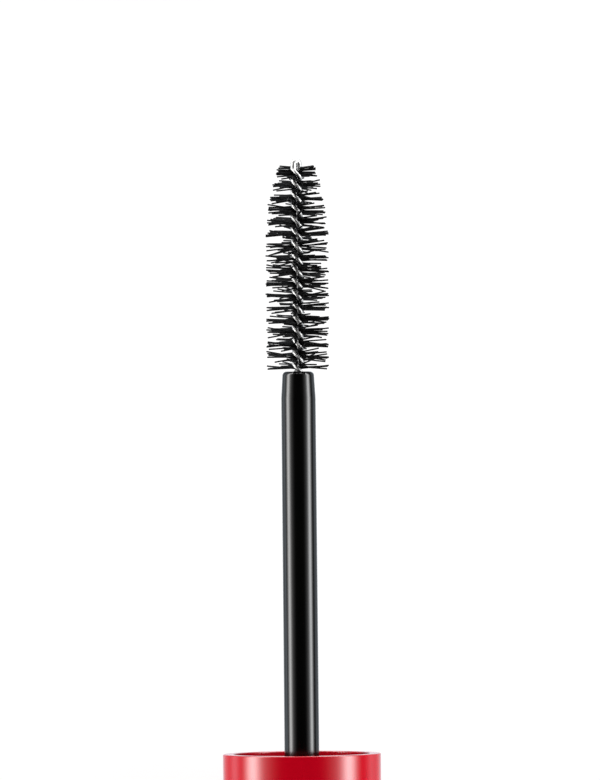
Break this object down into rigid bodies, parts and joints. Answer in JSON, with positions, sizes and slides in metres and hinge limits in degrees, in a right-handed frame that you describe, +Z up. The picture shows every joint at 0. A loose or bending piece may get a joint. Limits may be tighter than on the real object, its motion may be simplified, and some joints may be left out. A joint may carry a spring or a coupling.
{
  "type": "mascara tube",
  "caption": "Opened mascara lying flat: screw cap with stem and twisted-wire fibre brush, and the round tube with threaded neck and wiper that screws onto it",
  "frame": {"origin": "on the surface the mascara lies on, below the middle of its axis", "axes": "+X along the axis from the cap's closed end past the brush to the tube's base, +Z up from the surface, +Y to the left seen from the cap's end"},
  "size_m": [0.2272, 0.019, 0.019],
  "materials": {
    "cap_shell": "glossy pearl red",
    "cap_insert": "satin dark red moulding",
    "stem": "satin black",
    "brush_wire": "bright drawn wire",
    "bristles": "black nylon fibre",
    "bottle": "black polypropylene",
    "sleeve": "glossy pearl red",
    "base_label": "coated label, blank",
    "wiper": "soft translucent elastomer",
    "paste": "wet black paste"
  },
  "bodies": {
    "applicator": {"cap_shell": "cap_shell", "cap_insert": "cap_insert", "stem": "stem", "brush_wire": "brush_wire", "bristles": "bristles"},
    "drawn": {"paste": "paste"},
    "advanced": {"wiper": "wiper"},
    "tube": {"bottle": "bottle", "sleeve": "sleeve", "base_label": "base_label"}
  },
  "joints": [
    {"name": "tube_push", "type": "slide", "parent": "applicator", "child": "drawn", "axis": [-1, 0, 0], "range_m": [0, 0.1], "deforming": ["bristles"]},
    {"name": "thread_advance", "type": "slide", "parent": "drawn", "child": "advanced", "axis": [-1, 0, 0], "range_m": [0, 0.00525]},
    {"name": "thread_turn", "type": "hinge", "parent": "advanced", "child": "tube", "pos_m": [0.03782, 0, 0.0095], "axis": [-1, 0, 0], "range_deg": [0, 630]}
  ],
  "couplings": [
    {"joint": "thread_advance", "follows": "thread_turn", "m_per_rad": 0.00047746}
  ]
}
